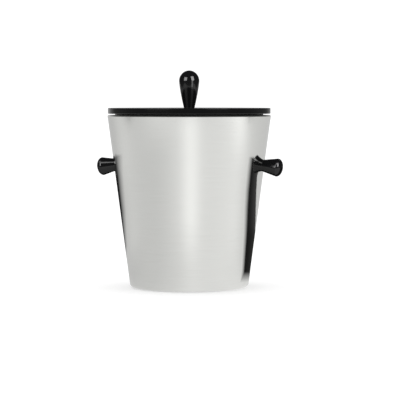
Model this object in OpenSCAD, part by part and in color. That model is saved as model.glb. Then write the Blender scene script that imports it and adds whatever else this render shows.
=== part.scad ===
/* [Body] */
// Height of the steel rim above the surface the bucket stands on
bucket_h = 180.8; // [170:0.2:195]
// Outer diameter of the steel body at its rim
rim_d = 171; // [170:0.2:178]
// Diameter that the tapered wall reaches at the standing surface
foot_d = 123.4; // [118:0.2:132]
// Radius of the rounded corner between the wall and the base
corner_r = 4; // [3:0.5:6]
// Sheet thickness of the steel shell
shell_t = 0.8; // [0.6:0.1:1]
// Radius of the steel's rounded rim
rim_edge_r = 1.2; // [1.1:0.1:2.4]
// How far the steel turns in at the rim, past its rounded edge
rim_turn_in = 3.4; // [2.2:0.1:3.6]
// Height of the base pad that stands proud of the steel
pad_proud = 0.8; // [0.5:0.1:1.5]

/* [Liner] */
// Diameter of the mouth
mouth_d = 145.2; // [142:0.2:146]
// Sheet thickness of the steel liner
liner_t = 0.8; // [0.6:0.1:1]
// Radius between the liner's wall and its floor
liner_floor_r = 12; // [8:1:16]
// Thickness of the foam under the liner
base_foam_t = 10; // [8:1:14]

/* [Rim ring] */
// Height of the ring's land above the steel rim
land_h = 1.4; // [1.2:0.1:3.5]
// Outer diameter of the land, the dark neck under the lid
land_d = 155; // [152:0.5:157]

/* [Lid] */
// Diameter of the lid disc
lid_d = 170; // [166:0.5:180]
// Thickness of the lid disc at its edge
lid_t = 6; // [5:0.5:8]
// Radius that breaks the edges of the lid disc
lid_edge_r = 0.7; // [0.6:0.1:2]
// Depth of the lid's pan below the disc
pan_depth = 12; // [10:0.5:16]

/* [Knobs] */
// Height of the lid knob's widest point above the disc
lid_knob_waist_h = 28.3; // [24:0.1:34]
// Greatest diameter of the lid knob
lid_knob_d = 21.2; // [18:0.1:24]
// Diameter of the lid knob where it meets the disc
lid_knob_neck_d = 11.2; // [10:0.1:13]
// Height of the lid knob's domed end above its waist
lid_knob_dome_h = 10.9; // [8:0.1:14]
// Curve of the lid knob's shank: 1 is a straight cone, and more bulges outward
lid_knob_bulge = 1.35; // [1:0.05:1.6]
// Distance of a side knob's widest point from the wall
side_knob_waist_h = 15.2; // [12:0.1:18]
// Greatest diameter of a side knob
side_knob_d = 18.9; // [16:0.1:22]
// Diameter of a side knob where it meets the wall
side_knob_neck_d = 12.1; // [10:0.1:13]
// Rise of a side knob's domed end past its widest point
side_knob_dome_h = 6.2; // [5:0.1:9]
// Squareness of a side knob's domed end: 2 gives an ellipse, and more gives a flatter face
side_knob_square = 2.1; // [2:0.1:3]
// Height of the side knobs' axis where it leaves the wall
side_knob_z = 128.6; // [110:0.2:140]

/* [Hidden] */
$fn = 96;

// The wall's taper: outward run for each millimetre of height, and the same as an angle
taper = (rim_d - foot_d) / 2 / bucket_h;
lean = atan(taper);

// Base: a shallow recess takes the pad, and its edge steps down at 45 degrees
recess_r = 52;
recess_h = 1.6;
panel_z = pad_proud + recess_h;
step_shift = shell_t * [tan(22.5), 1];

// Rim of the steel shell
rim_edge_z = bucket_h - rim_edge_r;
rim_edge_x = wall_r(rim_edge_z) - rim_edge_r / cos(lean);
rim_in_r = rim_edge_x - rim_turn_in;

// Liner, from the flange that hangs in the rim ring down to the floor
gasket_t = 0.8;
liner_drop = 2.1;
liner_top = bucket_h - liner_drop - gasket_t;
wall_build = wall_r(liner_top) - mouth_d / 2;
floor_z = panel_z + shell_t + base_foam_t + liner_t;
floor_arc_z = floor_z + liner_floor_r;
floor_arc_x = liner_r(floor_arc_z) - liner_floor_r / cos(lean);
liner_bend_r = 0.8;
flange_w = 4.2;
liner_bend_z = liner_top - liner_bend_r - liner_t;
liner_bend_x = liner_r(liner_bend_z) + (liner_bend_r + liner_t) / cos(lean);
liner_flange_r = mouth_d / 2 + flange_w;

// Rim ring: a barb under the steel rim and a skirt outside the liner's flange hold it
snap_gap = 0.05;
barb = 0.9;
barb_t = 0.6;
ring_shoulder = 1.4;
skirt_r = liner_flange_r + 0.6;
skirt_t = 2;
skirt_depth = 5;
land_top = bucket_h + land_h;

// Foam
foam_gap = 0.3;
sleeve_foot_r = recess_r - 1.5;
pocket_r = 8;
pocket_depth = 7;

// Screws of 5 mm thread, the same for all three knobs
screw_r = 2.45;
screw_end_gap = 1;
thread_hole_r = 2.5;
pass_hole_r = 2.65;
head_r = 4.4;
head_h = 2.8;
slot_w = 1.1;
slot_depth = 1.2;
insert_r = 3.6;
insert_len = 11;
insert_set_back = 0.3;
washer_t = 1.4;
side_washer_r = 6.5;
lid_washer_r = 7;

// Lid
lid_bottom = land_top;
lid_top = lid_bottom + lid_t;
pan_r = 70;
pan_t = 1.8;
pan_seat = 2;
pan_gap = 0.1;
pan_bottom = lid_bottom - pan_depth;
boss_r = 6;
pan_floor_t = 2;
ledge_r = pan_r + 1.4;
ledge_t = 1;
lid_gasket_h = 4.2;
lid_gasket_z = lid_bottom - lid_gasket_h - 0.2;
lip_r = mouth_d / 2 - 0.1;

// Outer radius of the steel wall at a height
function wall_r(z) = foot_d / 2 + taper * z;

// Inner radius of the liner's wall at a height
function liner_r(z) = wall_r(z) - wall_build;

// Points of an arc about a centre, from one angle to another
function arc(x, z, r, from, to, steps = 8) =
    [for (i = [0:steps]) let (a = from + (to - from) * i / steps) [x + r * cos(a), z + r * sin(a)]];

// Profile of a club-shaped knob: the shank widens up to the waist, and a dome closes it. A bulge of 1
// gives a straight shank, and a square of 2 an elliptical dome
function club(neck_r, waist_r, waist_h, dome_h, bulge = 1, square = 2, steps = 14) =
    let (shank_steps = bulge > 1 ? steps : 1)
    concat(
        [for (i = [0:shank_steps - 1]) let (u = i / shank_steps)
            [neck_r + (waist_r - neck_r) * (1 - pow(1 - u, bulge)), waist_h * u]],
        [for (i = [0:steps]) let (a = 90 * i / steps)
            [waist_r * pow(cos(a), 2 / square), waist_h + dome_h * pow(sin(a), 2 / square)]]
    );

// Puts its children on a side knob's axis, square to the leaning wall, on the +X side
module on_wall() {
    translate([wall_r(side_knob_z), 0, side_knob_z])
        rotate([0, 90 + lean, 0])
            children();
}

// The space inside the shell's outer surface
module shell_outside() {
    cylinder(h = bucket_h, r1 = wall_r(0), r2 = wall_r(bucket_h), $fn = 360);
}

// The space inside the shell's inner surface
module shell_inside() {
    sheet = shell_t / cos(lean);
    cylinder(h = bucket_h, r1 = wall_r(0) - sheet, r2 = wall_r(bucket_h) - sheet, $fn = 360);
}

// A slotted machine screw, its head's seat at z = 0 and its shank along +Z
module slotted_screw(shank) {
    head_round = 1;
    corner = arc(head_r - head_round, head_round - head_h, head_round, 0, -90, 5);
    difference() {
        union() {
            cylinder(h = shank, r = screw_r);
            rotate_extrude()
                polygon(concat([[0, 0], [head_r, 0]], corner, [[0, -head_h]]));
        }
        translate([-head_r, -slot_w / 2, -head_h - 1])
            cube([2 * head_r, slot_w, slot_depth + 1]);
    }
}

// A threaded insert with two grooves that key it into the moulding, from z = 0 along +Z
module threaded_insert() {
    groove_w = 1.2;
    groove_depth = 0.5;
    difference() {
        cylinder(h = insert_len, r = insert_r);
        translate([0, 0, -1])
            cylinder(h = insert_len + 2, r = thread_hole_r);
        for (z = [3, 7])
            translate([0, 0, z])
                difference() {
                    cylinder(h = groove_w, r = insert_r + 1);
                    translate([0, 0, -1])
                        cylinder(h = groove_w + 2, r = insert_r - groove_depth);
                }
    }
}

// Steel body, drawn in one piece: recessed base, rounded corner, leaning wall and turned-in rim
module outer_shell() {
    corner_z = pad_proud + corner_r;
    corner_x = wall_r(corner_z) - corner_r / cos(lean);
    step_top = [recess_r, panel_z];
    step_foot = [recess_r + recess_h, pad_proud];
    outside = concat([[0, panel_z], step_top, step_foot], arc(corner_x, corner_z, corner_r, -90, -lean),
        arc(rim_edge_x, rim_edge_z, rim_edge_r, -lean, 90), [[rim_in_r, bucket_h]]);
    inside = concat([[rim_in_r, bucket_h - shell_t]],
        arc(rim_edge_x, rim_edge_z, rim_edge_r - shell_t, 90, -lean),
        arc(corner_x, corner_z, corner_r - shell_t, -lean, -90),
        [step_foot + step_shift, step_top + step_shift, [0, panel_z + shell_t]]);
    color("lightsteelblue")
        difference() {
            rotate_extrude()
                polygon(concat(outside, inside));
            for (side = [0, 1])
                mirror([side, 0, 0])
                    on_wall()
                        translate([0, 0, -4])
                            cylinder(h = 8, r = pass_hole_r);
        }
}

// Steel cup that holds the ice, with an out-turned flange at its mouth
module inner_liner() {
    inside = concat([[0, floor_z]], arc(floor_arc_x, floor_arc_z, liner_floor_r, -90, -lean),
        arc(liner_bend_x, liner_bend_z, liner_bend_r + liner_t, 180 - lean, 90),
        [[liner_flange_r, liner_top]]);
    outside = concat([[liner_flange_r, liner_top - liner_t]],
        arc(liner_bend_x, liner_bend_z, liner_bend_r, 90, 180 - lean),
        arc(floor_arc_x, floor_arc_z, liner_floor_r + liner_t, -lean, -90), [[0, floor_z - liner_t]]);
    color("gainsboro")
        rotate_extrude()
            polygon(concat(inside, outside));
}

// Black moulded ring: it fills the gap between the walls, and the lid rests on its land
module rim_ring() {
    edge = 0.5;
    bottom = liner_top + gasket_t;
    under_rim = bucket_h - shell_t - snap_gap;
    body_r = rim_in_r - snap_gap;
    color("#222222")
        rotate_extrude()
            polygon([
                [mouth_d / 2, bottom],
                [mouth_d / 2, land_top - edge],
                [mouth_d / 2 + edge, land_top],
                [land_d / 2 - edge, land_top],
                [land_d / 2, land_top - edge],
                [land_d / 2, bucket_h],
                [body_r, bucket_h],
                [body_r, under_rim],
                [body_r + barb, under_rim],
                [body_r + barb, under_rim - barb_t],
                [skirt_r + skirt_t, bottom - ring_shoulder],
                [skirt_r + skirt_t, bottom - skirt_depth],
                [skirt_r, bottom - skirt_depth],
                [skirt_r, bottom]
            ]);
}

// Soft ring between the liner's flange and the rim ring
module liner_gasket() {
    color("dimgray")
        translate([0, 0, liner_top])
            difference() {
                cylinder(h = gasket_t, r = liner_flange_r - 0.3);
                translate([0, 0, -1])
                    cylinder(h = gasket_t + 2, r = mouth_d / 2 + 0.4);
            }
}

// Foam sleeve between the two walls, with a pocket round each side knob's screw
module wall_insulation() {
    liner_side = (liner_t + foam_gap) / cos(lean);
    shell_side = (shell_t + foam_gap) / cos(lean);
    arc_r = liner_floor_r + liner_t + foam_gap;
    foot_angle = -acos((sleeve_foot_r - floor_arc_x) / arc_r);
    foot_z = panel_z + shell_t;
    chamfer_z = foot_z + corner_r;
    notch_z = liner_top - skirt_depth - 1;
    top_z = liner_top - liner_t - liner_bend_r - foam_gap;
    collar_t = 2.2;
    notch_r = liner_r(top_z) + liner_side + collar_t;
    color("whitesmoke")
        difference() {
            rotate_extrude()
                polygon(concat(
                    [[sleeve_foot_r, foot_z]],
                    arc(floor_arc_x, floor_arc_z, arc_r, foot_angle, -lean, 6),
                    [[liner_r(top_z) + liner_side, top_z], [notch_r, top_z], [notch_r, notch_z],
                        [wall_r(notch_z) - shell_side, notch_z],
                        [wall_r(chamfer_z) - shell_side, chamfer_z],
                        [wall_r(chamfer_z) - shell_side - corner_r, foot_z]]
                ));
            for (side = [0, 1])
                mirror([side, 0, 0])
                    on_wall()
                        translate([0, 0, -pocket_depth])
                            cylinder(h = pocket_depth, r = pocket_r);
        }
}

// Foam disc under the liner's floor
module base_insulation() {
    color("whitesmoke")
        translate([0, 0, panel_z + shell_t])
            cylinder(h = base_foam_t, r = sleeve_foot_r - 0.5);
}

// Non-slip disc in the recess of the base; the bucket stands on it
module base_pad() {
    pad_r = recess_r - 0.5;
    chamfer = 0.6;
    color("#1a1a1a")
        rotate_extrude()
            polygon([[0, 0], [pad_r - chamfer, 0], [pad_r, chamfer], [pad_r, panel_z], [0, panel_z]]);
}

// Carrying knob, seated on the wall, with a bore for its insert
module side_knob() {
    seat = 1;
    color("#111111")
        difference() {
            on_wall()
                difference() {
                    rotate_extrude()
                        polygon(concat([[0, -seat], [side_knob_neck_d / 2, -seat]],
                            club(side_knob_neck_d / 2, side_knob_d / 2, side_knob_waist_h,
                                side_knob_dome_h, square = side_knob_square)));
                    translate([0, 0, -seat - 1])
                        cylinder(h = seat + 1 + insert_set_back + insert_len, r = insert_r);
                }
            shell_outside();
        }
}

module knob_insert() {
    color("goldenrod")
        on_wall()
            translate([0, 0, insert_set_back])
                threaded_insert();
}

// The screw's seat is the inner face of the saddle washer
module knob_screw() {
    seat = shell_t + washer_t;
    color("silver")
        on_wall()
            translate([0, 0, -seat])
                slotted_screw(seat + insert_len - screw_end_gap);
}

// Washer whose outer face follows the curve of the wall
module knob_washer() {
    seat = shell_t + washer_t;
    color("silver")
        intersection() {
            on_wall()
                translate([0, 0, -seat])
                    difference() {
                        cylinder(h = seat, r = side_washer_r);
                        translate([0, 0, -1])
                            cylinder(h = seat + 2, r = pass_hole_r);
                    }
            shell_inside();
        }
}

// Black disc that covers the whole mouth, with a recess below for the pan
module lid_disc() {
    edge_x = lid_d / 2 - lid_edge_r;
    recess = pan_r + pan_gap;
    color("#0d0d0d")
        rotate_extrude()
            polygon(concat(
                [[pass_hole_r, lid_bottom + pan_seat], [recess, lid_bottom + pan_seat],
                    [recess, lid_bottom]],
                arc(edge_x, lid_bottom + lid_edge_r, lid_edge_r, -90, 0, 6),
                arc(edge_x, lid_top - lid_edge_r, lid_edge_r, 0, 90, 6),
                [[pass_hole_r, lid_top]]
            ));
}

// Moulded pan that drops into the mouth: a ledge for the gasket and a boss for the screw
module lid_pan() {
    round_r = 3;
    floor_top = pan_bottom + pan_floor_t;
    pan_top = lid_bottom + pan_seat;
    color("#2b2b2b")
        rotate_extrude()
            polygon(concat(
                [[pass_hole_r, pan_bottom]],
                arc(pan_r - round_r, pan_bottom + round_r, round_r, -90, 0, 6),
                [[pan_r, lid_gasket_z - ledge_t], [ledge_r, lid_gasket_z - ledge_t],
                    [ledge_r, lid_gasket_z], [pan_r, lid_gasket_z], [pan_r, pan_top],
                    [pan_r - pan_t, pan_top], [pan_r - pan_t, floor_top], [boss_r, floor_top],
                    [boss_r, pan_top], [pass_hole_r, pan_top]]
            ));
}

// Foam disc round the boss inside the pan
module lid_insulation() {
    foam_t = pan_depth + pan_seat - pan_floor_t - 0.2;
    color("whitesmoke")
        translate([0, 0, pan_bottom + pan_floor_t])
            difference() {
                cylinder(h = foam_t, r = pan_r - pan_t - foam_gap);
                translate([0, 0, -1])
                    cylinder(h = foam_t + 2, r = boss_r + foam_gap);
            }
}

// Soft ring round the pan, with two lips that reach the mouth's wall
module lid_gasket() {
    band_r = pan_r + 1;
    root_t = 0.8;
    tip_t = 0.5;
    function lip(z) = [[band_r, z - root_t / 2], [lip_r, z - tip_t / 2], [lip_r, z + tip_t / 2],
        [band_r, z + root_t / 2]];
    color("dimgray")
        translate([0, 0, lid_gasket_z])
            rotate_extrude()
                polygon(concat([[pan_r, 0], [band_r, 0]], lip(1.6), lip(3.2),
                    [[band_r, lid_gasket_h], [pan_r, lid_gasket_h]]));
}

// Pear-shaped knob on the middle of the lid
module lid_knob() {
    color("#0d0d0d")
        translate([0, 0, lid_top])
            difference() {
                rotate_extrude()
                    polygon(concat([[0, 0]],
                        club(lid_knob_neck_d / 2, lid_knob_d / 2, lid_knob_waist_h, lid_knob_dome_h,
                            lid_knob_bulge)));
                translate([0, 0, -1])
                    cylinder(h = 1 + insert_set_back + insert_len, r = insert_r);
            }
}

module lid_knob_insert() {
    color("goldenrod")
        translate([0, 0, lid_top + insert_set_back])
            threaded_insert();
}

// Passes up through the washer, the pan's boss and the disc into the knob's insert
module lid_screw() {
    seat_z = pan_bottom - washer_t;
    color("silver")
        translate([0, 0, seat_z])
            slotted_screw(lid_top + insert_len - screw_end_gap - seat_z);
}

module lid_washer() {
    color("silver")
        translate([0, 0, pan_bottom - washer_t])
            difference() {
                cylinder(h = washer_t, r = lid_washer_r);
                translate([0, 0, -1])
                    cylinder(h = washer_t + 2, r = pass_hole_r);
            }
}

outer_shell();
inner_liner();
rim_ring();
liner_gasket();
wall_insulation();
base_insulation();
base_pad();
mirror([1, 0, 0]) side_knob();  // side_knob_left
side_knob();  // side_knob_right
mirror([1, 0, 0]) knob_insert();  // knob_insert_left
knob_insert();  // knob_insert_right
mirror([1, 0, 0]) knob_screw();  // knob_screw_left
knob_screw();  // knob_screw_right
mirror([1, 0, 0]) knob_washer();  // knob_washer_left
knob_washer();  // knob_washer_right
lid_disc();
lid_pan();
lid_insulation();
lid_gasket();
lid_knob();
lid_knob_insert();
lid_screw();
lid_washer();
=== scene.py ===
"""Looks of the ice bucket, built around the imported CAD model. Lengths are in metres."""
import math

import bpy
from mathutils import Matrix, Vector

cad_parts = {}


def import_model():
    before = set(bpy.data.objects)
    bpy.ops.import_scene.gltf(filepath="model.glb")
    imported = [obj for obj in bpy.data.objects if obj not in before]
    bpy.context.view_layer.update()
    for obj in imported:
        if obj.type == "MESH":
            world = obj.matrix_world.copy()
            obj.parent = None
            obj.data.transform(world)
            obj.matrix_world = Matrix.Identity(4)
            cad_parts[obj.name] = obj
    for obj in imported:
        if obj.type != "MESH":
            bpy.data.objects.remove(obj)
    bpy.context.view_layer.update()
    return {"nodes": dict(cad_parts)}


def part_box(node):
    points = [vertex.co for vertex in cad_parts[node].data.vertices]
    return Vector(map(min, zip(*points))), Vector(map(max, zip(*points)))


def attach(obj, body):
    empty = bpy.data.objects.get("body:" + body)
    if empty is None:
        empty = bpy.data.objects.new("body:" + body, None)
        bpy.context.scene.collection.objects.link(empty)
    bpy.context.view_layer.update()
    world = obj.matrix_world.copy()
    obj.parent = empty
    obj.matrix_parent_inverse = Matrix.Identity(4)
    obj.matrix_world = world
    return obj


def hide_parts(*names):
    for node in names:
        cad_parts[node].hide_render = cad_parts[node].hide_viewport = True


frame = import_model()

MM = 0.001
TAU = 2 * math.pi

# Camera: a long lens a little above the lid, turned so that the +X knob comes forward
CAMERA_AZIMUTH = math.radians(14)
CAMERA_DISTANCE = 2.094
CAMERA_HEIGHT = 0.2
LENS_MM = 180
AIM_RIGHT = 11.3 * MM
AIM_HEIGHT = 91.8 * MM

# Steel sheet: the wall's outward run for each unit of height, thickness, rounds and recess
TAPER = 0.13164
LEAN = math.atan(TAPER)
SHEET = 0.8 * MM
RIM_ROUND = 1.2 * MM
RIM_TURN_IN = 3.4 * MM
BASE_ROUND = 4 * MM
RECESS_RADIUS = 52 * MM
RECESS_DEPTH = 1.6 * MM
LINER_FLOOR_ROUND = 12 * MM
LINER_BEND = 0.8 * MM
MOUTH_RADIUS = 72.6 * MM

# Lid disc: edge round, and the recess that takes the pan
LID_ROUND = 0.7 * MM
PAN_RECESS_RADIUS = 70.1 * MM

# Lid knob: neck radius, curve of the shank, and height of the domed end
LID_KNOB_NECK = 5.6 * MM
LID_KNOB_BULGE = 1.35
LID_KNOB_DOME = 10.9 * MM

# Side knobs: neck radius, height on the wall, length to the waist, and the domed end
SIDE_KNOB_NECK = 6.05 * MM
SIDE_KNOB_Z = 128.6 * MM
SIDE_KNOB_WAIST = 15.2 * MM
SIDE_KNOB_DOME = 6.2 * MM
SIDE_KNOB_SQUARE = 2.1

# Bore for the brass insert, and hole for the screw
INSERT_RADIUS = 3.6 * MM
INSERT_DEPTH = 11.3 * MM
SCREW_HOLE_RADIUS = 2.65 * MM

LATHE_STEPS = 238
KNOB_STEPS = 96
CUTTER_STEPS = 48
SHARP_ANGLE = math.radians(38)
TINY = 1e-9


# ---------------------------------------------------------------- shapes

def arc(x, z, radius, start, end, steps=8):
    """Points of an arc about (x, z), from one angle in degrees to another."""
    points = []
    for i in range(steps + 1):
        a = math.radians(start + (end - start) * i / steps)
        points.append((x + radius * math.cos(a), z + radius * math.sin(a)))
    return points


def ring_of(vertices, radius, z, steps):
    """Adds a circle of vertices, or one vertex on the axis, and returns its indices."""
    first = len(vertices)
    if radius < TINY:
        vertices.append((0, 0, z))
        return [first] * steps
    for i in range(steps):
        a = TAU * i / steps
        vertices.append((radius * math.cos(a), radius * math.sin(a), z))
    return list(range(first, first + steps))


def lathe(name, profile, steps=LATHE_STEPS):
    """A closed solid: the profile's (radius, height) points turned about the Z axis."""
    vertices, faces = [], []
    rings = [ring_of(vertices, radius, z, steps) for radius, z in profile]
    for here, after in zip(rings, rings[1:] + rings[:1]):
        for i in range(steps):
            j = (i + 1) % steps
            corners = list(dict.fromkeys((here[i], here[j], after[j], after[i])))
            if len(corners) > 2:
                faces.append(corners)
    return mesh_object(name, vertices, faces)


def mesh_object(name, vertices, faces):
    mesh = bpy.data.meshes.new(name)
    mesh.from_pydata(vertices, [], faces)
    made = bpy.data.objects.new(name, mesh)
    bpy.context.scene.collection.objects.link(made)
    smooth(made)
    return made


def smooth(made):
    made.data.shade_smooth()
    made.data.set_sharp_from_angle(angle=SHARP_ANGLE)


def true_normals(piece):
    """Lets the long flat stretches of a profile keep their own normals beside its small rounds."""
    weigh = piece.modifiers.new("normals", "WEIGHTED_NORMAL")
    weigh.mode = "FACE_AREA"
    weigh.weight = 100
    weigh.thresh = 0.1
    weigh.keep_sharp = True


def knob_profile(neck, waist, waist_height, dome_height, bulge=1, square=2, steps=32):
    """Profile of a club-shaped knob with a blind bore; a bulge of 1 gives a straight shank."""
    points = [(0, INSERT_DEPTH), (INSERT_RADIUS, INSERT_DEPTH), (INSERT_RADIUS, 0)]
    for i in range(steps):
        u = i / steps
        swell = 1 - (1 - u) ** bulge
        points.append((neck + (waist - neck) * swell, waist_height * u))
    for i in range(steps):
        a = math.pi / 2 * i / steps
        out, up = math.cos(a) ** (2 / square), math.sin(a) ** (2 / square)
        points.append((waist * out, waist_height + dome_height * up))
    return points + [(0, waist_height + dome_height)]


def drill(piece, place):
    """Cuts a screw hole through a piece, along the local Z axis of place."""
    reach, radius = 6 * MM, SCREW_HOLE_RADIUS
    cutter = lathe("cutter", [(0, -reach), (radius, -reach), (radius, reach), (0, reach)], CUTTER_STEPS)
    cutter.data.transform(place)
    cut = piece.modifiers.new("cut", "BOOLEAN")
    cut.object = cutter
    cut.solver = "EXACT"
    bpy.context.view_layer.update()
    evaluated = piece.evaluated_get(bpy.context.evaluated_depsgraph_get())
    piece.data = bpy.data.meshes.new_from_object(evaluated)
    piece.modifiers.clear()
    bpy.data.objects.remove(cutter)
    smooth(piece)


# ---------------------------------------------------------------- node graphs

class Graph:
    """A material's node tree, with short calls that add nodes to it."""

    def __init__(self, name):
        self.material = bpy.data.materials.new(name)
        self.material.use_nodes = True
        self.nodes = self.material.node_tree.nodes
        self.links = self.material.node_tree.links
        self.place = self.nodes.new("ShaderNodeTexCoord").outputs["Object"]

    def join(self, value, socket):
        """Sets a socket to a number or a colour, or links an output to it."""
        if isinstance(value, bpy.types.NodeSocket):
            self.links.new(value, socket)
        else:
            socket.default_value = value

    def feed(self, kind, **values):
        """Adds a node of a kind, with values for the sockets named."""
        node = self.nodes.new(kind)
        for key, value in values.items():
            self.join(value, node.inputs[key.replace("_", " ")])
        return node

    def noise(self, scale, stretch=(1, 1, 1), detail=3.0, roughness=0.5):
        """Noise from 0 to 1, with so many cells in a metre along each axis as scale times stretch."""
        mapping = self.feed("ShaderNodeMapping", Vector=self.place, Scale=stretch)
        texture = self.feed("ShaderNodeTexNoise", Vector=mapping.outputs["Vector"], Scale=scale,
                            Detail=detail, Roughness=roughness)
        return texture.outputs["Fac"]

    def cells(self, scale):
        return self.feed("ShaderNodeTexVoronoi", Vector=self.place, Scale=scale).outputs["Distance"]

    def span(self, value, low, high, start=0.3, end=0.7):
        """The value mapped from start..end to low..high."""
        node = self.nodes.new("ShaderNodeMapRange")
        for socket, number in zip(node.inputs, (value, start, end, low, high)):
            self.join(number, socket)
        return node.outputs["Result"]

    def maths(self, operation, *values):
        node = self.nodes.new("ShaderNodeMath")
        node.operation = operation
        for socket, value in zip(node.inputs, values):
            self.join(value, socket)
        return node.outputs["Value"]

    def blend(self, factor, one, other):
        """A colour between two, by the factor."""
        node = self.nodes.new("ShaderNodeMix")
        node.data_type = "RGBA"
        sockets = [s for s in node.inputs if s.enabled]
        for socket, value in zip(sockets, (factor, (*one, 1), (*other, 1))):
            self.join(value, socket)
        return next(s for s in node.outputs if s.enabled)

    def ramp(self, value, low, high, stops):
        """A level read from (place, level) stops, as the value goes from low to high."""
        node = self.nodes.new("ShaderNodeValToRGB")
        elements = node.color_ramp.elements
        while len(elements) < len(stops):
            elements.new(1)
        for element, (place, level) in zip(elements, stops):
            element.position = (place - low) / (high - low)
            element.color = (level, level, level, 1)
        self.links.new(self.span(value, 0, 1, low, high), node.inputs["Fac"])
        return node.outputs["Color"]

    def facing(self, square, edge, start=0.2, end=0.5):
        """From one value where a surface faces the viewer to another towards its outline."""
        return self.span(self.nodes.new("ShaderNodeLayerWeight").outputs["Facing"], square, edge, start, end)

    def edges(self, start=0.52, end=0.6):
        """From 0 on flat ground to 1 on an outside edge."""
        point = self.nodes.new("ShaderNodeNewGeometry").outputs["Pointiness"]
        return self.span(point, 0, 1, start, end)


class Look(Graph):
    """A Principled material."""

    def __init__(self, name, colour, roughness, metallic=0.0, **inputs):
        super().__init__(name)
        self.shader = self.nodes["Principled BSDF"]
        self.set("Base Color", (*colour, 1))
        self.set("Roughness", roughness)
        self.set("Metallic", metallic)
        for key, value in inputs.items():
            self.set(key.replace("_", " "), value)

    def set(self, socket, value):
        self.join(value, self.shader.inputs[socket])

    def bump(self, *layers):
        """Adds bumps, each a (height, strength, depth in metres)."""
        normal = None
        for height, strength, depth in layers:
            node = self.feed("ShaderNodeBump", Height=height, Strength=strength, Distance=depth)
            if normal is not None:
                self.links.new(normal, node.inputs["Normal"])
            normal = node.outputs["Normal"]
        self.set("Normal", normal)

    def grain_round_z(self, amount):
        """Stretches highlights along the wall, as fine grain that runs round the Z axis does."""
        tangent = self.nodes.new("ShaderNodeTangent")
        tangent.direction_type = "RADIAL"
        tangent.axis = "Z"
        self.set("Tangent", tangent.outputs["Tangent"])
        self.set("Anisotropic", amount)
        self.set("Anisotropic Rotation", 0.25)


class Glow(Graph):
    """A light-giving material, of a level that is a number or an output."""

    def __init__(self, name):
        super().__init__(name)
        self.nodes.remove(self.nodes["Principled BSDF"])
        self.light = self.nodes.new("ShaderNodeEmission")
        self.links.new(self.light.outputs["Emission"], self.nodes["Material Output"].inputs["Surface"])

    def level(self, value):
        self.join(value, self.light.inputs["Strength"])
        return self.material


# ---------------------------------------------------------------- materials

def body_steel():
    look = Look("body_steel", (0.7, 0.702, 0.68), 0.14, 1.0)
    grain = look.noise(40, (1, 1, 60), detail=4)
    smears = look.noise(14, (1, 1, 0.5), detail=2)
    look.set("Base Color", look.blend(look.span(grain, 0, 1), (0.675, 0.678, 0.656), (0.705, 0.708, 0.688)))
    look.set("Roughness", look.maths("ADD", look.span(grain, 0.07, 0.1), look.span(smears, -0.01, 0.02)))
    look.grain_round_z(0.4)
    look.bump((grain, 0.03, 0.01 * MM), (look.noise(9, detail=1), 0.03, 0.3 * MM))
    return look.material


def liner_steel():
    look = Look("liner_steel", (0.72, 0.72, 0.71), 0.2, 1.0)
    grain = look.noise(60, (1, 1, 45), detail=4)
    scratches = look.noise(220, (1, 5, 1), detail=2)
    rough = look.span(scratches, 0, 0.08, 0.55, 0.7)
    look.set("Roughness", look.maths("ADD", look.span(grain, 0.14, 0.22), rough))
    look.grain_round_z(0.5)
    look.bump((grain, 0.12, 0.02 * MM))
    return look.material


def black_gloss(name, shine, edge_shine):
    """Black moulding, with its specular level where it faces the viewer and towards its outline."""
    look = Look(name, (0.003, 0.003, 0.0032), 0.1)
    haze = look.noise(30, detail=2)
    fine = look.noise(900, detail=3)
    look.set("Base Color", look.blend(look.edges(), (0.002, 0.002, 0.0022), (0.008, 0.008, 0.008)))
    look.set("Roughness", look.maths("ADD", look.span(haze, 0.07, 0.12), look.span(fine, 0, 0.03)))
    look.set("Specular IOR Level", look.facing(shine, edge_shine))
    look.bump((haze, 0.06, 0.1 * MM), (fine, 0.03, 0.01 * MM))
    return look.material


def black_satin(name, colour, roughness):
    look = Look(name, (colour,) * 3, roughness, Specular_IOR_Level=0.4)
    pores = look.noise(1400, detail=3)
    haze = look.noise(40, detail=2)
    look.set("Base Color", look.blend(look.edges(), (colour,) * 3, (2.2 * colour,) * 3))
    look.set("Roughness", look.maths("ADD", look.span(haze, roughness - 0.05, roughness + 0.05),
                                     look.span(pores, -0.03, 0.03)))
    look.bump((pores, 0.25, 0.03 * MM))
    return look.material


def rubber(name, colour):
    look = Look(name, (colour,) * 3, 0.72, Specular_IOR_Level=0.3)
    pores = look.noise(1100, detail=4)
    dust = look.noise(60, detail=4, roughness=0.7)
    look.set("Base Color", look.blend(look.span(dust, 0, 0.6), (colour,) * 3, (colour * 1.8 + 0.01,) * 3))
    look.set("Roughness", look.span(dust, 0.62, 0.85))
    look.bump((pores, 0.4, 0.08 * MM))
    return look.material


def foam_beads():
    look = Look("foam_beads", (0.86, 0.85, 0.8), 0.85, Specular_IOR_Level=0.2)
    beads = look.cells(330)
    # The gaps between the beads, where the bump sinks, get a darker colour: painted shade in the crevices
    crevice_shade = look.span(beads, 0, 1, 0.35, 0.75)
    look.set("Base Color", look.blend(crevice_shade, (0.88, 0.87, 0.83), (0.66, 0.64, 0.58)))
    look.set("Roughness", look.span(look.noise(200), 0.78, 0.92))
    look.bump((look.maths("SUBTRACT", 1.0, beads), 0.6, 0.5 * MM))
    return look.material


def turned_metal(name, colour, roughness):
    look = Look(name, colour, roughness, 1.0)
    turning = look.noise(500, (1, 1, 6), detail=3)
    stain = look.noise(120, detail=3)
    darker = tuple(0.72 * c for c in colour)
    look.set("Base Color", look.blend(look.span(stain, 0, 0.7), colour, darker))
    look.set("Roughness", look.span(turning, roughness - 0.08, roughness + 0.1))
    look.bump((turning, 0.2, 0.02 * MM))
    return look.material


# ---------------------------------------------------------------- pieces

shell_low, shell_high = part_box("outer_shell")
rim_z = shell_high.z
rim_edge_z = rim_z - RIM_ROUND
rim_edge_x = shell_high.x - RIM_ROUND
lean_degrees = math.degrees(LEAN)


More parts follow.
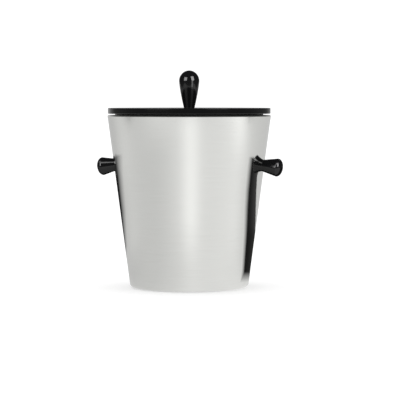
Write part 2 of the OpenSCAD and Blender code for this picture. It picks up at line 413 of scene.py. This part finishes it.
def wall_radius(z):
    """Outer radius of the steel wall at a height."""
    return rim_edge_x + RIM_ROUND / math.cos(LEAN) + TAPER * (z - rim_edge_z)


def on_wall(side):
    """Frame of a side knob: square to the leaning wall, on the +X side for 1 and the -X side for -1."""
    turn = Matrix.Rotation(0 if side > 0 else math.pi, 4, "Z")
    place = Matrix.Translation((wall_radius(SIDE_KNOB_Z), 0, SIDE_KNOB_Z))
    return turn @ place @ Matrix.Rotation(math.pi / 2 + LEAN, 4, "Y")


def shell_profile():
    base = shell_low.z
    panel = base + RECESS_DEPTH
    corner_z = base + BASE_ROUND
    corner_x = wall_radius(corner_z) - BASE_ROUND / math.cos(LEAN)
    shift = SHEET * math.tan(math.radians(22.5))
    foot = RECESS_RADIUS + RECESS_DEPTH
    rim_inner = rim_edge_x - RIM_TURN_IN
    return (
        [(0, panel), (RECESS_RADIUS, panel), (foot, base)]
        + arc(corner_x, corner_z, BASE_ROUND, -90, -lean_degrees, 12)
        + arc(rim_edge_x, rim_edge_z, RIM_ROUND, -lean_degrees, 90, 14)
        + [(rim_inner, rim_z), (rim_inner, rim_z - SHEET)]
        + arc(rim_edge_x, rim_edge_z, RIM_ROUND - SHEET, 90, -lean_degrees)
        + arc(corner_x, corner_z, BASE_ROUND - SHEET, -lean_degrees, -90)
        + [(foot + shift, base + SHEET), (RECESS_RADIUS + shift, panel + SHEET), (0, panel + SHEET)]
    )


def liner_profile():
    low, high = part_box("inner_liner")
    floor = low.z + SHEET
    build = wall_radius(high.z) - MOUTH_RADIUS
    corner_z = floor + LINER_FLOOR_ROUND
    corner_x = wall_radius(corner_z) - build - LINER_FLOOR_ROUND / math.cos(LEAN)
    bend_z = high.z - LINER_BEND - SHEET
    bend_x = wall_radius(bend_z) - build + (LINER_BEND + SHEET) / math.cos(LEAN)
    return (
        [(0, floor)]
        + arc(corner_x, corner_z, LINER_FLOOR_ROUND, -90, -lean_degrees, 16)
        + arc(bend_x, bend_z, LINER_BEND + SHEET, 180 - lean_degrees, 90, 10)
        + [(high.x, high.z), (high.x, high.z - SHEET)]
        + arc(bend_x, bend_z, LINER_BEND, 90, 180 - lean_degrees)
        + arc(corner_x, corner_z, LINER_FLOOR_ROUND + SHEET, -lean_degrees, -90, 16)
        + [(0, low.z)]
    )


def disc_profile():
    low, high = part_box("lid_disc")
    recess_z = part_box("lid_pan")[1].z
    edge = high.x - LID_ROUND
    return (
        [(SCREW_HOLE_RADIUS, recess_z), (PAN_RECESS_RADIUS, recess_z), (PAN_RECESS_RADIUS, low.z)]
        + arc(edge, low.z + LID_ROUND, LID_ROUND, -90, 0)
        + arc(edge, high.z - LID_ROUND, LID_ROUND, 0, 90)
        + [(SCREW_HOLE_RADIUS, high.z)]
    )


def stand_in(piece, body, material, node):
    """Gives a new piece its material and its body, and hides the CAD node that it stands for."""
    piece.data.materials.clear()
    piece.data.materials.append(material)
    true_normals(piece)
    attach(piece, body)
    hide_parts(node)


def shell_piece(material):
    piece = lathe("body_shell", shell_profile())
    for side in (-1, 1):
        drill(piece, on_wall(side))
    stand_in(piece, "bucket", material, "outer_shell")


def liner_piece(material):
    piece = lathe("ice_liner", liner_profile())
    stand_in(piece, "bucket", material, "inner_liner")


def disc_piece(material):
    piece = lathe("lid_plate", disc_profile())
    stand_in(piece, "lid", material, "lid_disc")


def lid_knob_piece(material):
    low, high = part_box("lid_knob")
    waist = high.z - low.z - LID_KNOB_DOME
    profile = knob_profile(LID_KNOB_NECK, high.x, waist, LID_KNOB_DOME, bulge=LID_KNOB_BULGE)
    piece = lathe("lid_handle", profile, KNOB_STEPS)
    piece.data.transform(Matrix.Translation((0, 0, low.z)))
    stand_in(piece, "lid", material, "lid_knob")


def side_knob_piece(name, node, side, material):
    """A side knob; the edge of its seat follows the wall's curve."""
    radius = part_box(node)[1].y
    profile = knob_profile(SIDE_KNOB_NECK, radius, SIDE_KNOB_WAIST, SIDE_KNOB_DOME, square=SIDE_KNOB_SQUARE)
    piece = lathe(name, profile, KNOB_STEPS)
    curve = wall_radius(SIDE_KNOB_Z) / math.cos(LEAN)
    for vertex in piece.data.vertices:
        if vertex.co.z < TINY:
            vertex.co.z = -vertex.co.y ** 2 / (2 * curve)
    piece.data.transform(on_wall(side))
    stand_in(piece, "bucket", material, node)


def carry_over(material, *nodes):
    """Gives CAD nodes that keep their own meshes a better material."""
    for node in nodes:
        held = frame["nodes"][node]
        held.data.materials.clear()
        held.data.materials.append(material)
        smooth(held)


knob_gloss = black_gloss("knob_gloss", 0.38, 0.12)
disc_gloss = black_gloss("disc_gloss", 0.45, 0.5)
foam = foam_beads()
brass = turned_metal("insert_brass", (0.72, 0.5, 0.2), 0.3)
zinc = turned_metal("screw_zinc", (0.62, 0.62, 0.64), 0.28)
grey_rubber = rubber("grey_rubber", 0.11)

shell_piece(body_steel())
liner_piece(liner_steel())
disc_piece(disc_gloss)
lid_knob_piece(knob_gloss)
side_knob_piece("carry_knob_left", "side_knob_left", -1, knob_gloss)
side_knob_piece("carry_knob_right", "side_knob_right", 1, knob_gloss)
carry_over(black_satin("ring_black", 0.045, 0.32), "rim_ring")
carry_over(black_satin("pan_black", 0.022, 0.5), "lid_pan")
carry_over(grey_rubber, "liner_gasket", "lid_gasket")
carry_over(rubber("pad_rubber", 0.012), "base_pad")
carry_over(foam, "wall_insulation", "base_insulation", "lid_insulation")
carry_over(brass, "knob_insert_left", "knob_insert_right", "lid_knob_insert")
carry_over(zinc, "knob_screw_left", "knob_screw_right", "lid_screw",
           "knob_washer_left", "knob_washer_right", "lid_washer")


# ---------------------------------------------------------------- studio

# Floor that the camera sees: half its width, and the light it gives of itself
FLOOR_REACH = 15
FLOOR_GLOW = 0.32

# White table that the steel sees, a little under the floor: how far it runs to the front and the back of
# the bucket, and half its width beside the bucket and at the back
TABLE_DROP = 0.5 * MM
TABLE_FRONT = 0.78
TABLE_BACK = 5.5
TABLE_SIDE = 1.02
TABLE_BACK_SIDE = 4.3
# Level of the table, and what its right and its front gain over that
TABLE_LEVEL = 0.8
TABLE_RIGHT_GAIN = 0.1
TABLE_FRONT_GAIN = 0.17
# Soft patches of light on the table: direction and half width in degrees, and the gain near the bucket,
# farther out and beyond
TABLE_PATCHES = (
    (-108, 30, 0.04, 0.16, 0.2),
    (-42, 22, -0.06, -0.05, 0.12),
    (-8, 24, -0.04, 0.04, 0.14),
    (2, 13, 0.07, 0.24, 0.34),
    (50, 12, 0.02, 0.02, 0.03),
    (74, 18, 0.05, 0.12, 0.32),
)
# Distances over which one gain gives way to the next
GAINS_MEET = ((0.13, 0.3), (0.6, 0.85))

# Level of the room by height over the table, as a share of its radius
ROOM_RADIUS = 8
ROOM_LEVELS = ((0.0, 0.15), (0.15, 0.12), (0.5, 0.08), (1.0, 0.1))
# Light on the room's back wall: by direction, and by height as a share of its radius
BACK_BANDS = ((-180, 0.1), (-170, 0.4), (-158, 0.5), (-130, 0), (140, 0), (156, 0.2), (170, 0.3), (180, 0.1))
BACK_HEIGHTS = ((0.0, 1.0), (0.42, 0.8), (0.75, 0.0))

# Dark cards lean out from the bucket: their distance at the table, what they gain with height, and the
# degrees over which they end behind the bucket
CARD_LEVEL = 0.01
CARD_DISTANCE = 0.085
CARD_LEAN = 0.5
CARD_ENDS = (152, 166)
# Rows of a card: height, directions of its two edges, and how much it covers
RIGHT_CARD = (
    (0, 77, 166, 0), (0.01, 79.5, 166, 1), (0.045, 78.5, 166, 1), (0.055, 77.5, 124, 1),
    (0.072, 75.5, 112, 1), (0.09, 74.5, 105, 1), (0.106, 75, 102, 1), (0.1225, 76, 112, 1),
)
LEFT_CARD = (
    (0.012, -140, -166, 0), (0.037, -107, -166, 1), (0.072, -97, -166, 1),
    (0.106, -95, -166, 1), (0.1265, -91, -166, 0.8), (0.131, -92, -166, 0),
)

# Softboxes: direction, distance, height, and the width and height of the lit face
LEFT_BOX = (-44, 1.2, 0.62, (0.76, 0.8))
RIGHT_BOX = (42, 1.2, 0.75, (0.72, 1.05))
LOW_BOX = (36, 0.8, 0.12, (0.2, 0.24))
TOP_BOX = (-8, 1.0, 1.3, (0.9, 0.5))
SIDE_BOX = (-76, 1.3, 1.4, (0.8, 0.6))
INSIDE_BOXES = tuple((degrees, 0.7, 0.75, (0.6, 0.5)) for degrees in (-40, 50, 170))
SOFTBOX_TARGET = (0, 0, 0.2)

WORLD_LEVEL = 1.12


def stage_point(degrees, distance, height):
    """A point about the axis; 0 degrees is towards the camera, and they grow to the camera's right."""
    a = CAMERA_AZIMUTH + math.radians(degrees)
    return Vector((distance * math.sin(a), -distance * math.cos(a), height))


def aim(made, target):
    made.rotation_euler = (Vector(target) - made.location).to_track_quat("-Z", "Y").to_euler()


def mirror_only(made, material):
    """Makes an object part of the studio that shows only in reflections."""
    made.data.materials.append(material)
    made.visible_camera = False
    made.visible_diffuse = False
    made.visible_shadow = False
    made.visible_transmission = False
    made.visible_volume_scatter = False


def slab(name, side, front, back, back_side):
    """A flat top that is straight up to the axis and flares from there to its back edge."""
    corners = [(-side, -front, 0), (side, -front, 0), (side, 0, 0),
               (back_side, back, 0), (-back_side, back, 0), (-side, 0, 0)]
    return mesh_object(name, corners, [tuple(range(6))])


def floor():
    made = slab("floor", FLOOR_REACH, FLOOR_REACH, FLOOR_REACH, FLOOR_REACH)
    look = Look("floor_white", (0.8, 0.8, 0.8), 0.9, Specular_IOR_Level=0.0, Emission_Strength=FLOOR_GLOW)
    look.set("Emission Color", (1, 1, 1, 1))
    made.data.materials.append(look.material)
    made.visible_glossy = False


def direction(glow):
    """The direction of a point about the axis, in radians; 0 is towards the camera."""
    x, y, _ = glow.feed("ShaderNodeSeparateXYZ", Vector=glow.place).outputs
    return glow.maths("ARCTAN2", x, glow.maths("MULTIPLY", y, -1.0))


def bands(glow, around, stops):
    """A level by direction, from (degrees, level) stops."""
    return glow.ramp(around, -math.pi, math.pi, [(math.radians(d), level) for d, level in stops])


def patch(glow, around, degrees, width):
    """A bell about a direction, from 0 to 1."""
    off = glow.maths("SUBTRACT", around, math.radians(degrees))
    off = glow.maths("DIVIDE", off, math.radians(width))
    return glow.maths("EXPONENT", glow.maths("MULTIPLY", glow.maths("MULTIPLY", off, off), -1.0))


def table_level(glow):
    around = direction(glow)
    reach = glow.nodes.new("ShaderNodeVectorMath")
    reach.operation = "LENGTH"
    glow.join(glow.place, reach.inputs[0])
    farther, beyond = (glow.span(reach.outputs["Value"], 0, 1, *ends) for ends in GAINS_MEET)
    level = glow.maths("MULTIPLY_ADD", glow.maths("SINE", around), TABLE_RIGHT_GAIN, TABLE_LEVEL)
    level = glow.maths("MULTIPLY_ADD", glow.maths("COSINE", around), TABLE_FRONT_GAIN, level)
    for degrees, width, near, middle, far in TABLE_PATCHES:
        gain = glow.maths("MULTIPLY_ADD", farther, middle - near, near)
        gain = glow.maths("MULTIPLY_ADD", beyond, far - middle, gain)
        level = glow.maths("MULTIPLY_ADD", patch(glow, around, degrees, width), gain, level)
    return level


def table():
    """The white table as the steel sees it, with soft patches of light that change with distance."""
    glow = Glow("table_light")
    made = slab("table", TABLE_SIDE, TABLE_FRONT, TABLE_BACK, TABLE_BACK_SIDE)
    made.rotation_euler.z = CAMERA_AZIMUTH
    made.location.z = -TABLE_DROP
    mirror_only(made, glow.level(table_level(glow)))


def room():
    """The dark room round the table, with a soft light on its back wall."""
    glow = Glow("room_light")
    height = glow.feed("ShaderNodeSeparateXYZ", Vector=glow.place).outputs["Z"]
    walls, lit = (
        glow.ramp(height, 0, ROOM_RADIUS, [(ROOM_RADIUS * h, level) for h, level in stops])
        for stops in (ROOM_LEVELS, BACK_HEIGHTS)
    )
    back = glow.maths("MULTIPLY", lit, bands(glow, direction(glow), BACK_BANDS))
    bpy.ops.mesh.primitive_uv_sphere_add(segments=96, ring_count=48, radius=ROOM_RADIUS)
    made = bpy.context.object
    made.name = "room"
    made.rotation_euler.z = CAMERA_AZIMUTH
    mirror_only(made, glow.level(glow.maths("ADD", walls, back)))


def card_light(name):
    """A dark light that lets through what its surface's "cover" leaves."""
    glow = Glow(name)
    cover = glow.nodes.new("ShaderNodeAttribute")
    cover.attribute_name = "cover"
    clear = glow.nodes.new("ShaderNodeBsdfTransparent")
    mix = glow.nodes.new("ShaderNodeMixShader")
    sources = (cover.outputs["Fac"], clear.outputs["BSDF"], glow.light.outputs["Emission"])
    for source, socket in zip(sources, mix.inputs):
        glow.join(source, socket)
    glow.join(mix.outputs["Shader"], glow.nodes["Material Output"].inputs["Surface"])
    return glow.level(CARD_LEVEL)


def card(name, rows, fade, far_cover, steps=12):
    """A dark card that leans out round the bucket.

    From the first edge the card fades in over some degrees. At the second edge far_cover of its cover is
    left. Behind the bucket it fades out.
    """
    vertices, faces, covers = [], [], []
    ends_from, ends_at = CARD_ENDS
    for height, start, end, most in rows:
        full = start + math.copysign(fade, end - start)
        columns = [(start, 0)]
        for i in range(steps + 1):
            columns.append((full + (end - full) * i / steps, 1 + (far_cover - 1) * i / steps))
        for degrees, share in columns:
            remains = (ends_at - abs(degrees)) / (ends_at - ends_from)
            vertices.append(stage_point(degrees, CARD_DISTANCE + CARD_LEAN * height, height))
            covers.append(most * share * min(max(remains, 0), 1))
    width = steps + 2
    for j in range(len(rows) - 1):
        for k in range(j * width, (j + 1) * width - 1):
            faces.append((k, k + 1, k + width + 1, k + width))
    made = mesh_object(name, vertices, faces)
    made.data.attributes.new("cover", "FLOAT", "POINT").data.foreach_set("value", covers)
    mirror_only(made, card_light(name + "_light"))


def softbox(name, box, radiance, lit):
    """A softbox that lights only the pieces in a collection."""
    degrees, distance, height, size = box
    data = bpy.data.lights.new(name, "AREA")
    data.shape = "RECTANGLE"
    data.size, data.size_y = size
    data.energy = radiance * math.pi * size[0] * size[1]
    made = bpy.data.objects.new(name, data)
    bpy.context.scene.collection.objects.link(made)
    made.location = stage_point(degrees, distance, height)
    aim(made, SOFTBOX_TARGET)
    made.light_linking.receiver_collection = lit


def collection(name, *pieces):
    made = bpy.data.collections.new(name)
    for piece in pieces:
        made.objects.link(bpy.data.objects[piece])
    return made


def camera():
    lens = bpy.data.cameras.new("camera")
    lens.lens = LENS_MM
    made = bpy.data.objects.new("camera", lens)
    bpy.context.scene.collection.objects.link(made)
    made.location = stage_point(0, CAMERA_DISTANCE, CAMERA_HEIGHT)
    aim(made, stage_point(90, AIM_RIGHT, AIM_HEIGHT))
    bpy.context.scene.camera = made


def world(level):
    made = bpy.data.worlds.new("studio")
    made.use_nodes = True
    background = made.node_tree.nodes["Background"]
    background.inputs["Color"].default_value = (1, 1, 1, 1)
    background.inputs["Strength"].default_value = level
    bpy.context.scene.world = made
    bpy.context.scene.view_settings.view_transform = "Standard"


floor()
table()
room()
card("card_right", RIGHT_CARD, fade=9, far_cover=0.92)
card("card_left", LEFT_CARD, fade=24, far_cover=0.95)

knobs = collection("knobs", "lid_handle", "carry_knob_left", "carry_knob_right")
grip = collection("lid_grip", "lid_handle")
plate = collection("lid_top", "lid_plate")
side_knobs = collection("side_knobs", "carry_knob_left", "carry_knob_right")
inside = collection("inside", "ice_liner")
softbox("softbox_left", LEFT_BOX, 8, knobs)
softbox("softbox_right", RIGHT_BOX, 10, knobs)
softbox("softbox_left_dim", LEFT_BOX, 1.9, plate)
softbox("softbox_right_dim", RIGHT_BOX, 1.9, plate)
softbox("softbox_low", LOW_BOX, 4, grip)
softbox("softbox_top", TOP_BOX, 4, side_knobs)
softbox("softbox_side", SIDE_BOX, 5, side_knobs)
for box in INSIDE_BOXES:
    softbox("softbox_inside", box, 3, inside)
world(WORLD_LEVEL)
camera()
